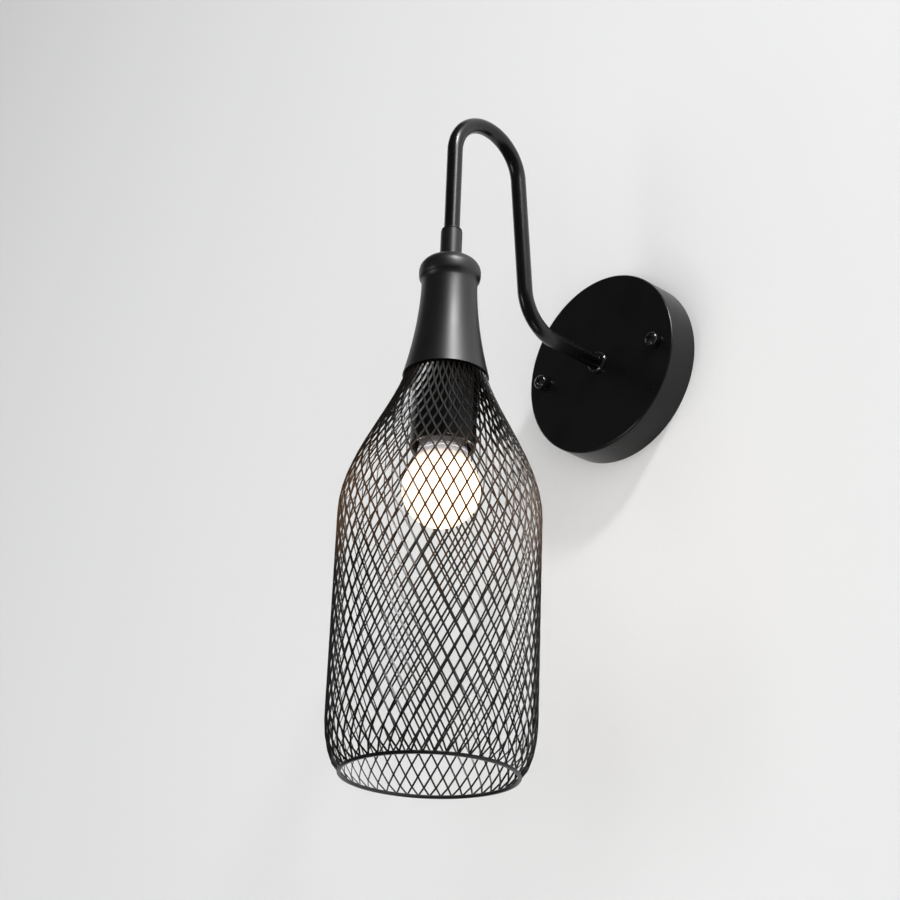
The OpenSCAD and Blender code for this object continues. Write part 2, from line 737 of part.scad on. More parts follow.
module cage_mesh() {
    n = mesh_around;
    last = mesh_rows;
    row_len = outline_len / mesh_rows;
    half_w = strand_w / 2;
    points = [for (j = [0:last], i = [0:n - 1]) let (
        s = j * row_len,
        r = lookup(s, radius_table),
        half_mesh = PI * r / n,
        strand = norm([half_mesh, row_len]),
        turn = 360 * (i + (j % 2) / 2) / n,
        edge = j == 0 || j == last,
        across = half_w * (strand + (edge ? half_mesh : 0)) / row_len,
        side = across / r * 180 / PI,
        shift = j == 0 ? half_w : j == last ? -half_w : 0,
        along = half_w * strand / half_mesh)
        each [
            mesh_point(s, turn, strand_t / 2),
            mesh_point(s, turn, -strand_t / 2),
            mesh_point(s + shift, turn + side),
            mesh_point(s + shift, turn - side),
            mesh_point(j == 0 ? s - half_w : s - along, turn) + (j == 0 ? [0, 0, half_w] : [0, 0, 0]),
            mesh_point(j == last ? s + half_w : s + along, turn) - (j == last ? [0, 0, half_w] : [0, 0, 0])
        ]];
    quads = concat(
        [for (j = [0:last - 1], i = [0:n - 1]) let (
            a = 6 * (j * n + i),
            b = 6 * ((j + 1) * n + (i + j % 2) % n),
            c = 6 * ((j + 1) * n + (i + j % 2 + n - 1) % n))
            each [
                [a + OUT, b + OUT, b + UP, a + RIGHT], [a + OUT, a + DOWN, b + LEFT, b + OUT],
                [a + OUT, a + LEFT, c + UP, c + OUT], [a + OUT, c + OUT, c + RIGHT, a + DOWN],
                [a + IN, a + RIGHT, b + UP, b + IN], [a + IN, b + IN, b + LEFT, a + DOWN],
                [a + IN, c + IN, c + UP, a + LEFT], [a + IN, a + DOWN, c + RIGHT, c + IN]
            ]],
        [for (i = [0:n - 1]) let (a = 6 * i, b = 6 * ((i + 1) % n))
            each [
                [a + OUT, a + RIGHT, b + LEFT, b + OUT], [a + OUT, b + OUT, b + UP, a + UP],
                [a + IN, b + IN, b + LEFT, a + RIGHT], [a + IN, a + UP, b + UP, b + IN]
            ]],
        [for (i = [0:n - 1]) let (a = 6 * (last * n + i), b = 6 * (last * n + (i + 1) % n))
            each [
                [a + OUT, b + OUT, b + LEFT, a + RIGHT], [a + OUT, a + DOWN, b + DOWN, b + OUT],
                [a + IN, a + RIGHT, b + LEFT, b + IN], [a + IN, b + IN, b + DOWN, a + DOWN]
            ]]
    );
    faces = [for (q = quads) each [[q[2], q[1], q[0]], [q[3], q[2], q[0]]]];
    color(black_metal) on_shade_axis() polyhedron(points, faces, convexity = 20);
}

// The band inside the top of the mesh, which holds it against the neck
module cage_band() {
    band_r = (cage_top_r - strand_t / 2) * cos(180 / mesh_around);
    color(black_metal) on_shade_axis(cage_top_z - band_h / 2)
        linear_extrude(band_h) ring(band_r, band_r - band_t);
}

module cage_rim() color(black_metal) on_shade_axis(cage_bottom_z)
    rotate_extrude() translate([rim_d / 2, 0]) circle(d = rim_wire_d);

// ---- Leads -------------------------------------------------------------------------------

lead_sides = 8;

// A round lead swept along a list of points, its section carried along without twisting
module lead(path) {
    n = len(path);
    along = [for (i = [0:n - 1]) let (d = path[min(i + 1, n - 1)] - path[max(i - 1, 0)]) d / norm(d)];
    first = cross(along[0], [1, 0, 0]);
    side = [for (i = 0, s = first / norm(first); i < n;
        i = i + 1,
        s = i < n ? square_to(s, along[i]) : s) s];
    points = [for (i = [0:n - 1], k = [0:lead_sides - 1]) let (
        a = 360 * k / lead_sides, up = cross(along[i], side[i]))
        path[i] + lead_r * (cos(a) * side[i] + sin(a) * up)];
    walls = [for (i = [0:n - 2], k = [0:lead_sides - 1]) let (
        a = i * lead_sides, b = a + lead_sides, m = (k + 1) % lead_sides)
        each [[a + k, b + m, a + m], [a + k, b + k, b + m]]];
    start_cap = [for (k = [1:lead_sides - 2]) [0, k, k + 1]];
    end_cap = [for (k = [1:lead_sides - 2]) let (e = (n - 1) * lead_sides) [e, e + k + 1, e + k]];
    polyhedron(points, concat(walls, start_cap, end_cap), convexity = 10);
}
function square_to(v, t) = let (w = v - (v * t) * t) w / norm(w);

// Points of the arm's centre line, moved sideways
function arm_point(p, x) = [x, -p.x, p.y];
function arm_arc(centre, from, to, n, x) = [for (i = [0:n]) let (a = from + (to - from) * i / n)
    arm_point(centre + bend_r * [cos(a), sin(a)], x)];
function arm_route(x) = concat(
    [arm_point([tube_start - 1, 0], x), arm_point([foot_centre.x / 2, 0], x)],
    arm_arc(foot_centre, -90, -leg_lean, 7, x),
    arm_arc(hook_centre, 180 - leg_lean, 0, 14, x),
    [arm_point([reach, tube_end], x), arm_point([reach, (tube_end + nipple_end) / 2], x),
        arm_point([reach, nipple_end], x)]
);

// In the canopy a lead turns up from the tube to its connector
connector_x = 13;
connector_y = -11;
connector_z = 24;
connector_h = 19;
connector_r = 5.2;
connector_tip_r = 3.6;
connector_skirt_h = 6;
connector_bore_h = 7;
function canopy_route(side) = [
    [side * connector_x, connector_y, connector_z + connector_bore_h - 1],
    [side * connector_x, connector_y, connector_z - 2],
    [side * 11.5, connector_y + 1, 17],
    [side * 7.5, connector_y + 3, 11],
    [side * 4, connector_y + 4.2, 6.5],
    [side * 2.2, connector_y + 3.4, 3],
    [side * lead_pitch / 2, -tube_start + 2.4, 0.6]
];

// In the cap a lead runs down and out to its terminal screw
terminal_lead_z = block_top_z + plate_t + lead_r;
function cap_route(side, x) = [
    [side * lead_pitch / 2 + (x - side * lead_pitch / 2) * 0.15, -reach - 1, nipple_end - 6],
    [(x + side * lead_pitch / 2) / 2, -reach - 2.6, (nipple_end + terminal_lead_z) / 2 - 2],
    [x, -reach - 3, terminal_lead_z + 5],
    [x, -reach - 1.8, terminal_lead_z + 2],
    [x, -reach, terminal_lead_z + 0.3],
    [x, -reach + terminal_y - terminal_head_r, terminal_lead_z]
];

module live_lead() color([0.08, 0.08, 0.08]) lead(concat(
    canopy_route(-1), arm_route(-lead_pitch / 2), cap_route(-1, live_x)));

module neutral_lead() color([0.90, 0.90, 0.88]) lead(concat(
    canopy_route(1), arm_route(lead_pitch / 2), cap_route(1, neutral_x)));

module earth_lead() color([0.30, 0.62, 0.20]) lead([
    [0, -lug_lead_y, lug_barrel_top - lug_barrel_h + 4],
    [0, -lug_lead_y, lug_barrel_top - lug_barrel_h],
    [-0.6, -lug_lead_y + 0.6, lug_barrel_top - lug_barrel_h - 4],
    [-4, -lug_lead_y + 3.4, lug_barrel_top - lug_barrel_h - 7],
    [-10, -lug_lead_y + 7.6, lug_barrel_top - lug_barrel_h - 6.5],
    [-16, -strap_front - 4.2, -22],
    [-20, -strap_front - 2, -15],
    [ground_x, -strap_front - lead_r, -9],
    [ground_x, -strap_front - lead_r, -ground_head_r]
]);

module wire_connectors() color([0.85, 0.55, 0.12]) for (side = [-1, 1])
    translate([side * connector_x, connector_y, connector_z]) difference() {
        union() {
            cylinder(r = connector_r, h = connector_skirt_h);
            translate([0, 0, connector_skirt_h])
                cylinder(r1 = connector_r, r2 = connector_tip_r, h = connector_h - connector_skirt_h);
        }
        translate([0, 0, -1]) cylinder(r = lead_r + fit_gap, h = connector_bore_h + 1);
    }

canopy();
canopy_screws();
wall_strap();
canopy_strap();
strap_rivet();
strap_nuts();
ground_screw();
arm_tube();
arm_ferrule();
arm_lock_washer();
earth_lug();
arm_lock_nut();
tube_bushing();
arm_collar();
neck_nipple();
neck();
neck_nut();
holder_nut();
holder_cap();
holder_body();
terminal_block();
terminal_plates();
terminal_screws();
holder_rivets();
screw_shell();
centre_contact();
cage_mesh();
cage_band();
cage_rim();
bulb_contact();
bulb_insulator();
bulb_screw_base();
bulb_collar();
bulb_board();
bulb_globe();
live_lead();
neutral_lead();
earth_lead();
wire_connectors();
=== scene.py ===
"""Cage wall light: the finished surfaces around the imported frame.

Lengths are in millimetres. finish_mesh() turns its pieces into metres, and make_net() makes its
line in metres. The wall is the plane y = 0, the light stands out from it towards -Y, and +Z is
up.
"""

import json
import math

import bmesh
import bpy
from mathutils import Matrix, Vector


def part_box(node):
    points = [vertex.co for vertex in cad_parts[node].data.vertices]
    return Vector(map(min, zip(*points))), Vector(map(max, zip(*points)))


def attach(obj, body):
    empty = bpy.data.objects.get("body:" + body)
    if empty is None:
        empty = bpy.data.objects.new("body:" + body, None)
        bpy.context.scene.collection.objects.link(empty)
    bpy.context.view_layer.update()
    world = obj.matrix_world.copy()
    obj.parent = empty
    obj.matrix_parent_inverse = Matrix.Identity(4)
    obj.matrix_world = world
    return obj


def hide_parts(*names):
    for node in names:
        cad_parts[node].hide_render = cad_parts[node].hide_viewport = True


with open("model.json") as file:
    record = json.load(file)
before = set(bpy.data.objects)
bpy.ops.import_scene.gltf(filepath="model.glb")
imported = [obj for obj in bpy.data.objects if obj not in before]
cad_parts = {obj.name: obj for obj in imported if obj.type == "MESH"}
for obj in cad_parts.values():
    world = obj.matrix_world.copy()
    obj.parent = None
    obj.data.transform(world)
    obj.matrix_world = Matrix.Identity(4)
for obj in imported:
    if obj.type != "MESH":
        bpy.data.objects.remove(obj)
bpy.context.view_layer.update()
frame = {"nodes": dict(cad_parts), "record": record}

MM = 0.001


# ---- Sizes read from the frame ------------------------------------------------------------------

def box_mm(node):
    """The lowest and highest corners of a node, in millimetres."""
    low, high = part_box(node)
    return low / MM, high / MM


def radius_of(node):
    """Half a round node's width."""
    low, high = box_mm(node)
    return (high.x - low.x) / 2


NECK_LOW, NECK_HIGH = box_mm("neck")
REACH = -(NECK_LOW.y + NECK_HIGH.y) / 2
CANOPY_DEPTH = -box_mm("canopy")[0].y
CANOPY_R = box_mm("canopy")[1].z
TUBE_R = radius_of("arm_tube")
TUBE_HOLE_R = TUBE_R + 0.25   # a hole that the tube passes through
TUBE_BORE_R = TUBE_R + 0.05   # a ring that fits on the tube
COLLAR_LOW, COLLAR_HIGH = box_mm("arm_collar")
SEAT_Z = NECK_HIGH.z
NECK_RIM_Z = NECK_LOW.z
RIM_LOW, RIM_HIGH = box_mm("cage_rim")
RIM_Z = (RIM_LOW.z + RIM_HIGH.z) / 2
RIM_H = RIM_HIGH.z - RIM_LOW.z
RIM_R = radius_of("cage_rim") - RIM_H / 2
HOLDER_LOW, HOLDER_HIGH = box_mm("holder_body")
HOLDER_R = radius_of("holder_body")
GLOBE_LOW, GLOBE_HIGH = box_mm("bulb_globe")
GLOBE_R = radius_of("bulb_globe")
BULB_COLLAR_LOW, BULB_COLLAR_HIGH = box_mm("bulb_collar")

SHADE_AXIS = Matrix.Translation((0, -REACH, 0))
OUT_OF_WALL = Matrix.Rotation(math.radians(90), 4, "X")


# ---- Outlines -----------------------------------------------------------------------------------

def arc(cx, cz, r, start, end, steps):
    """Points on an arc, with its angles in degrees."""
    turns = [math.radians(start + (end - start) * i / steps) for i in range(steps + 1)]
    return [(cx + r * math.cos(a), cz + r * math.sin(a)) for a in turns]


def corner(before, at, after, size, steps):
    """A corner rounded off over a given length on each side."""
    p, q, s = Vector(before), Vector(at), Vector(after)
    a = q + (p - q).normalized() * size
    b = q + (s - q).normalized() * size
    shares = [i / steps for i in range(steps + 1)]
    return [tuple(a.lerp(q, t).lerp(q.lerp(b, t), t)) for t in shares]


# ---- Meshes -------------------------------------------------------------------------------------

def finish_mesh(bm, name, place, material, sharp=40):
    """Makes a piece of a mesh in millimetres, with its place in its vertices."""
    bmesh.ops.remove_doubles(bm, verts=bm.verts, dist=0.0005)
    bmesh.ops.recalc_face_normals(bm, faces=bm.faces)
    bm.transform(Matrix.Scale(MM, 4) @ place)
    mesh = bpy.data.meshes.new(name)
    bm.to_mesh(mesh)
    bm.free()
    mesh.shade_smooth()
    mesh.set_sharp_from_angle(angle=math.radians(sharp))
    mesh.materials.append(material)
    piece = bpy.data.objects.new(name, mesh)
    bpy.context.scene.collection.objects.link(piece)
    return piece


def add_lathe(bm, outline, segments=96, closed=True):
    """Turns an outline of (radius, height) about the Z axis."""
    rings = []
    for r, z in outline:
        if r < 1e-6:
            rings.append([bm.verts.new((0, 0, z))] * segments)
        else:
            turns = [2 * math.pi * k / segments for k in range(segments)]
            rings.append([bm.verts.new((r * math.cos(a), r * math.sin(a), z)) for a in turns])
    count = len(rings) if closed else len(rings) - 1
    for i in range(count):
        lower, upper = rings[i], rings[(i + 1) % len(rings)]
        for k in range(segments):
            m = (k + 1) % segments
            face = []
            for v in (lower[k], lower[m], upper[m], upper[k]):
                if v not in face:
                    face.append(v)
            if len(face) > 2:
                bm.faces.new(face)


def lathe(name, outline, place, material, segments=96, closed=True, sharp=40):
    """A turned piece. Edges sharper than an angle in degrees stay sharp."""
    bm = bmesh.new()
    add_lathe(bm, outline, segments, closed)
    return finish_mesh(bm, name, place, material, sharp)


def add_sweep(bm, path, r, sides, sideways):
    """Sweeps a circle along a path that lies in a plane square to the vector sideways."""
    rings = []
    for i, p in enumerate(path):
        ahead = Vector(path[min(i + 1, len(path) - 1)])
        behind = Vector(path[max(i - 1, 0)])
        along = (ahead - behind).normalized()
        out = along.cross(sideways).normalized()
        turns = [2 * math.pi * k / sides for k in range(sides)]
        rings.append([bm.verts.new(Vector(p) + r * (math.cos(a) * sideways + math.sin(a) * out))
                      for a in turns])
    for lower, upper in zip(rings, rings[1:]):
        for k in range(sides):
            m = (k + 1) % sides
            bm.faces.new((lower[k], lower[m], upper[m], upper[k]))
    return rings


# ---- Materials ----------------------------------------------------------------------------------

def grain_group():
    """Two masks that vary over a surface: a fine grain and broad soft blotches."""
    group = bpy.data.node_groups.new("coat_grain", "ShaderNodeTree")
    for name in ("Grain", "Blotch"):
        group.interface.new_socket(name=name + " Scale", in_out="INPUT",
                                   socket_type="NodeSocketFloat")
        group.interface.new_socket(name=name, in_out="OUTPUT", socket_type="NodeSocketFloat")
    nodes, links = group.nodes, group.links
    inside = nodes.new("NodeGroupInput")
    outside = nodes.new("NodeGroupOutput")
    place = nodes.new("ShaderNodeTexCoord")
    for name, detail in (("Grain", 3.0), ("Blotch", 4.0)):
        noise = nodes.new("ShaderNodeTexNoise")
        noise.inputs["Detail"].default_value = detail
        links.new(place.outputs["Object"], noise.inputs["Vector"])
        links.new(inside.outputs[name + " Scale"], noise.inputs["Scale"])
        links.new(noise.outputs["Fac"], outside.inputs[name])
    return group


GRAIN = grain_group()


def ranged(tree, value, low, high, start=0.3, end=0.7):
    """A mask turned into a number between two limits."""
    node = tree.nodes.new("ShaderNodeMapRange")
    node.inputs["From Min"].default_value = start
    node.inputs["From Max"].default_value = end
    node.inputs["To Min"].default_value = low
    node.inputs["To Max"].default_value = high
    tree.links.new(value, node.inputs["Value"])
    return node.outputs["Result"]


COLOUR_INPUTS = (6, 7)   # the mix node's sockets for colours
COLOUR_OUTPUT = 2


def blended(tree, mask, *colours):
    """A colour between two, by a mask. Each of the two is a colour or a node's output."""
    node = tree.nodes.new("ShaderNodeMix")
    node.data_type = "RGBA"
    tree.links.new(mask, node.inputs["Factor"])
    for i, colour in zip(COLOUR_INPUTS, colours):
        if isinstance(colour, tuple):
            node.inputs[i].default_value = (*colour, 1)
        else:
            tree.links.new(colour, node.inputs[i])
    return node.outputs[COLOUR_OUTPUT]


def coat(name, dark, light, rough, bump, grain=2600.0, blotch=45.0, metal=0.0, **sockets):
    """A finish whose colour and roughness drift a little, over a fine grain."""
    material = bpy.data.materials.new(name)
    material.use_nodes = True
    tree = material.node_tree
    shader = tree.nodes["Principled BSDF"]
    texture = tree.nodes.new("ShaderNodeGroup")
    texture.node_tree = GRAIN
    texture.inputs["Grain Scale"].default_value = grain
    texture.inputs["Blotch Scale"].default_value = blotch
    drift = ranged(tree, texture.outputs["Blotch"], 0.0, 1.0)
    tree.links.new(blended(tree, drift, dark, light), shader.inputs["Base Color"])
    tree.links.new(ranged(tree, texture.outputs["Blotch"], *rough), shader.inputs["Roughness"])
    relief = tree.nodes.new("ShaderNodeBump")
    relief.inputs["Strength"].default_value = 1.0
    relief.inputs["Distance"].default_value = bump * MM
    tree.links.new(texture.outputs["Grain"], relief.inputs["Height"])
    tree.links.new(relief.outputs["Normal"], shader.inputs["Normal"])
    shader.inputs["Metallic"].default_value = metal
    for socket, value in sockets.items():
        shader.inputs[socket.replace("_", " ")].default_value = value
    return material


MATT_BLACK = coat("matt_black_coat", (0.0026, 0.0025, 0.0025), (0.0040, 0.0038, 0.0038),
                  (0.27, 0.31), bump=0.006, Specular_IOR_Level=0.36)
SATIN_BLACK = coat("satin_black_coat", (0.0020, 0.0019, 0.0020), (0.0032, 0.0030, 0.0031),
                   (0.38, 0.43), bump=0.006, Specular_IOR_Level=0.7)
TUBE_BLACK = coat("tube_black_coat", (0.0016, 0.0015, 0.0015), (0.0026, 0.0025, 0.0025),
                  (0.25, 0.29), bump=0.004, Specular_IOR_Level=0.5)
GLOSS_BLACK = coat("gloss_black_coat", (0.006, 0.006, 0.006), (0.010, 0.010, 0.010),
                   (0.05, 0.09), bump=0.001, Specular_IOR_Level=0.9)
NET_BLACK = coat("net_black_coat", (0.0034, 0.0024, 0.0018), (0.0060, 0.0042, 0.0031),
                 (0.30, 0.35), bump=0.01, Specular_IOR_Level=0.36)
HOLDER_BLACK = coat("moulded_black", (0.0030, 0.0028, 0.0028), (0.0045, 0.0043, 0.0042),
                    (0.18, 0.24), bump=0.004, Specular_IOR_Level=0.3)
ZINC = coat("zinc_plate", (0.52, 0.53, 0.54), (0.66, 0.67, 0.67), (0.28, 0.45), bump=0.01,
            blotch=160.0, metal=1.0)
GREEN_ZINC = coat("green_zinc_plate", (0.05, 0.20, 0.07), (0.08, 0.30, 0.11), (0.28, 0.45),
                  bump=0.01, blotch=160.0, metal=0.6)
BRASS = coat("brass", (0.62, 0.44, 0.17), (0.74, 0.55, 0.25), (0.25, 0.40), bump=0.01,
             blotch=140.0, metal=1.0)
NICKEL = coat("nickel_plate", (0.56, 0.54, 0.51), (0.68, 0.66, 0.63), (0.18, 0.30), bump=0.01,
              blotch=150.0, metal=1.0)
BLOCK_WHITE = coat("ceramic_white", (0.74, 0.72, 0.67), (0.82, 0.80, 0.75), (0.40, 0.60),
                   bump=0.03, grain=1500.0)
MILKY_PLASTIC = coat("milky_plastic", (0.68, 0.68, 0.66), (0.76, 0.76, 0.74), (0.35, 0.50),
                     bump=0.01)
BULB_GREY = coat("bulb_grey", (0.24, 0.235, 0.26), (0.34, 0.335, 0.36), (0.30, 0.42), bump=0.01)
INSULATOR_BLACK = coat("insulator_black", (0.008, 0.008, 0.012), (0.014, 0.014, 0.02),
                       (0.08, 0.16), bump=0.004)
LEAD_BLACK = coat("lead_black", (0.015, 0.015, 0.015), (0.024, 0.024, 0.024), (0.40, 0.55),
                  bump=0.01)
LEAD_WHITE = coat("lead_white", (0.72, 0.72, 0.70), (0.80, 0.80, 0.78), (0.40, 0.55), bump=0.01)
LEAD_GREEN = coat("lead_green", (0.07, 0.30, 0.04), (0.11, 0.40, 0.06), (0.40, 0.55), bump=0.01)
CONNECTOR_ORANGE = coat("connector_orange", (0.62, 0.16, 0.02), (0.74, 0.22, 0.04),
                        (0.35, 0.50), bump=0.01)

LAMP_GLOW = 14.0   # how strongly the globe lights what is near it
LAMP_SHOWN = 2.6   # how strongly it shows itself
LAMP_FACE = (1.0, 0.57, 0.34)
LAMP_EDGE = (0.40, 0.32, 0.23)
LAMP_SHOULDER = (0.02, 0.019, 0.018)
LAMP_CAST = (1.0, 0.93, 0.86)
GLOW_FULL = 12.0   # the globe glows fully up to this height above its middle
GLOW_END = 19.0    # and not at all above this one
# Painted light: strands near the globe glow faintly, standing in for the globe's warm light
# falling on them.
PAINTED_NET_GLOW = 0.05
PAINTED_NET_GLOW_COLOUR = (1.0, 0.47, 0.16, 1)
PAINTED_NET_GLOW_DROP = 18.0   # the painted glow on the net is strongest this far under the globe's middle,
PAINTED_NET_GLOW_FULL = 8.0    # fully so up to this far above and below there,
PAINTED_NET_GLOW_END = 38.0    # and not at all past this


def lamp_opal():
    """The globe glows warm white up to its shoulder, which stays pale grey.

    It lights what is near it more strongly than it shows, and with a whiter light.
    """
    material = coat("lamp_opal", (0.74, 0.73, 0.73), (0.80, 0.79, 0.79), (0.22, 0.30), bump=0.004)
    tree = material.node_tree
    shader = tree.nodes["Principled BSDF"]
    place = tree.nodes.new("ShaderNodeTexCoord")
    split = tree.nodes.new("ShaderNodeSeparateXYZ")
    tree.links.new(place.outputs["Object"], split.inputs["Vector"])
    globe_z = (GLOBE_LOW.z + GLOBE_R) * MM
    glow = ranged(tree, split.outputs["Z"], 1.0, 0.0, globe_z + GLOW_FULL * MM,
                  globe_z + GLOW_END * MM)
    edge = tree.nodes.new("ShaderNodeLayerWeight")
    edge.inputs["Blend"].default_value = 0.25
    face = blended(tree, edge.outputs["Facing"], LAMP_FACE, LAMP_EDGE)
    shown = blended(tree, glow, LAMP_SHOULDER, face)
    seen = tree.nodes.new("ShaderNodeLightPath").outputs["Is Camera Ray"]
    tree.links.new(blended(tree, seen, LAMP_CAST, shown), shader.inputs["Emission Color"])
    tree.links.new(ranged(tree, seen, LAMP_GLOW, LAMP_SHOWN, 0.0, 1.0),
                   shader.inputs["Emission Strength"])
    return material


LAMP_OPAL = lamp_opal()


def paint_glow_on_net():
    """Paints the globe's warm light on the strands in front of it, as seen from below, as a faint
    glow.
    """
    tree = NET_BLACK.node_tree
    shader = tree.nodes["Principled BSDF"]
    place = tree.nodes.new("ShaderNodeTexCoord")
    split = tree.nodes.new("ShaderNodeSeparateXYZ")
    tree.links.new(place.outputs["Object"], split.inputs["Vector"])
    away = tree.nodes.new("ShaderNodeMath")
    away.operation = "SUBTRACT"
    away.inputs[1].default_value = (GLOBE_LOW.z + GLOBE_R - PAINTED_NET_GLOW_DROP) * MM
    tree.links.new(split.outputs["Z"], away.inputs[0])
    gap = tree.nodes.new("ShaderNodeMath")
    gap.operation = "ABSOLUTE"
    tree.links.new(away.outputs[0], gap.inputs[0])
    # Painted light: a warm glow put on the strands, strongest just under the globe's middle.
    shader.inputs["Emission Color"].default_value = PAINTED_NET_GLOW_COLOUR
    painted_glow = ranged(tree, gap.outputs[0], PAINTED_NET_GLOW, 0.0, PAINTED_NET_GLOW_FULL * MM, PAINTED_NET_GLOW_END * MM)
    tree.links.new(painted_glow, shader.inputs["Emission Strength"])


paint_glow_on_net()


# ---- Canopy -------------------------------------------------------------------------------------

def make_canopy():
    """A shallow pan, open towards the wall."""
    wall = 1.2
    edge = 1.5
    inner_edge = 0.9
    inner_at = wall + inner_edge
    outline = [(CANOPY_R, 0.0)]
    outline += arc(CANOPY_R - edge, CANOPY_DEPTH - edge, edge, 0, 90, 10)
    outline += [(TUBE_HOLE_R, CANOPY_DEPTH), (TUBE_HOLE_R, CANOPY_DEPTH - wall)]
    outline += arc(CANOPY_R - inner_at, CANOPY_DEPTH - inner_at, inner_edge, 90, 0, 8)
    outline += [(CANOPY_R - wall, 0.0)]
    return lathe("canopy_pan", outline, OUT_OF_WALL, MATT_BLACK, segments=160, sharp=60)


def smooth_step(edge, soft, value):
    """1 well inside an edge and 0 well outside it."""
    t = min(max((edge + soft - value) / (2 * soft), 0.0), 1.0)
    return t * t * (3 - 2 * t)


def cross_depth(x, y, reach, half, soft):
    """How deep a cross-shaped recess is at a place, as a share of its full depth."""
    return max(smooth_step(half, soft, abs(b)) * smooth_step(reach, soft, abs(a))
               for a, b in ((x, y), (y, x)))


def make_screws():
    """Barrel-headed screws with a crowned front and a cross recess."""
    low, high = box_mm("canopy_screws")
    head_r = (high.z - low.z) / 2
    spacing = high.x - low.x - 2 * head_r
    head_h = -low.y - CANOPY_DEPTH
    shank_r = 1.95
    shank_end = -high.y - CANOPY_DEPTH
    crown = 2.4
    crown_power = 2.8
    chamfer = 0.4
    recess = 2.2
    cross_reach = 2.9
    cross_half = 0.7
    cross_soft = 0.35
    outline = [(0.0, shank_end), (shank_r, shank_end), (shank_r, 0.0), (head_r - chamfer, 0.0),
               (head_r, chamfer)]
    for i in range(36, -1, -1):
        t = math.sin(math.radians(90 * i / 36))
        drop = crown * (1 - math.sqrt(max(1 - t ** crown_power, 0.0)))
        outline.append((head_r * t, head_h - drop))
    bm = bmesh.new()
    for side, turn in ((-1, 20), (1, 65)):
        screw = bmesh.new()
        add_lathe(screw, outline, 96, closed=False)
        for v in screw.verts:
            if v.co.z > head_h - crown:
                v.co.z -= recess * cross_depth(v.co.x, v.co.y, cross_reach, cross_half, cross_soft)
        place = OUT_OF_WALL @ Matrix.Translation((side * spacing / 2, 0, CANOPY_DEPTH))
        screw.transform(place @ Matrix.Rotation(math.radians(turn), 4, "Z"))
        one = bpy.data.meshes.new("screw")
        screw.to_mesh(one)
        screw.free()
        bm.from_mesh(one)
        bpy.data.meshes.remove(one)
    return finish_mesh(bm, "canopy_screw_pair", Matrix(), GLOSS_BLACK, 55)


# ---- Arm ----------------------------------------------------------------------------------------

BEND_R = 28.0
LEG_LEAN = math.radians(6.5)
HOOK_Z = box_mm("arm_tube")[1].z - TUBE_R - BEND_R
HOOK_OUT = REACH - BEND_R


def arm_path():
    """The arm's centre line from its end in the canopy to its end in the collar."""
    past_middle = 1.0
    lean_c, lean_s = math.cos(LEG_LEAN), math.sin(LEG_LEAN)
    top = (HOOK_OUT - BEND_R * lean_c, HOOK_Z + BEND_R * lean_s)
    foot_z = BEND_R * (1 - lean_s)
    foot_out = top[0] - (top[1] - foot_z) / lean_c * lean_s
    foot_centre = (foot_out - BEND_R * lean_c, BEND_R)
    lean = math.degrees(LEG_LEAN)
    start_out = -box_mm("arm_tube")[1].y
    end_z = (COLLAR_LOW.z + COLLAR_HIGH.z) / 2 + past_middle
    flat = [(start_out, 0.0)]
    flat += arc(*foot_centre, BEND_R, -90, -lean, 28)
    flat += arc(HOOK_OUT, HOOK_Z, BEND_R, 180 - lean, 0, 56)
    flat += [(REACH, end_z)]
    return [Vector((0, -out, z)) for out, z in flat]


def make_arm():
    """A bent tube, open at both ends."""
    wall = 1.0
    sides = 64
    bm = bmesh.new()
    path = arm_path()
    sideways = Vector((1, 0, 0))
    outside = add_sweep(bm, path, TUBE_R, sides, sideways)
    inside = add_sweep(bm, path, TUBE_R - wall, sides, sideways)
    for end in (0, -1):
        for k in range(sides):
            m = (k + 1) % sides
            bm.faces.new((outside[end][k], outside[end][m], inside[end][m], inside[end][k]))
    return finish_mesh(bm, "arm_pipe", Matrix(), TUBE_BLACK, 50)


def make_ferrule():
    """A ring round the arm on the canopy's face, with a rounded outer edge."""
    r = radius_of("arm_ferrule")
    h = -box_mm("arm_ferrule")[0].y - CANOPY_DEPTH
    bore = TUBE_BORE_R
    chamfer = 0.4
    outline = [(bore, 0.0), (r, 0.0)] + arc(r - h / 2, h / 2, h / 2, 0, 90, 10)
    outline += [(bore + chamfer, h), (bore, h - chamfer)]
    place = OUT_OF_WALL @ Matrix.Translation((0, 0, CANOPY_DEPTH))
    return lathe("arm_ring", outline, place, GLOSS_BLACK)


def make_collar():
    """A plain sleeve with a narrow groove close under its top edge."""
    r = radius_of("arm_collar")
    bore = TUBE_BORE_R
    low, high = COLLAR_LOW.z, COLLAR_HIGH.z
    chamfer = 0.3
    groove = 0.65
    outline = [(bore, low), (r - chamfer, low), (r, low + chamfer), (r, high - 1.7),
               (r - groove, high - 1.5), (r - groove, high - 0.85), (r - 0.25, high - 0.65),
               (r - 0.4, high - 0.15), (r - 0.8, high), (bore + chamfer, high),
               (bore, high - 2 * chamfer)]
    return lathe("arm_sleeve", outline, SHADE_AXIS, SATIN_BLACK)


# ---- Neck ---------------------------------------------------------------------------------------

BEAD_R = 18.5
BEAD_Z = SEAT_Z - 10.5
BEAD_POWER = 2.3      # how full the bead's dome is: 2 would be an ellipse
BEAD_TUCK = 6.0       # from the bead's widest part down to the crease
CREASE_Z = BEAD_Z - BEAD_TUCK
SEAT_T = 1.4
NECK_WALL = 1.0
WAIST_R = 16.6
NECK_RIM_R = radius_of("neck")
FLARE_POWER = 1.85    # how late the skirt opens out: 1 would be a plain cone


def flare_r(z):
    """The neck's radius under its crease."""
    share = (CREASE_Z - z) / (CREASE_Z - NECK_RIM_Z)
    return WAIST_R + (NECK_RIM_R - WAIST_R) * share ** FLARE_POWER


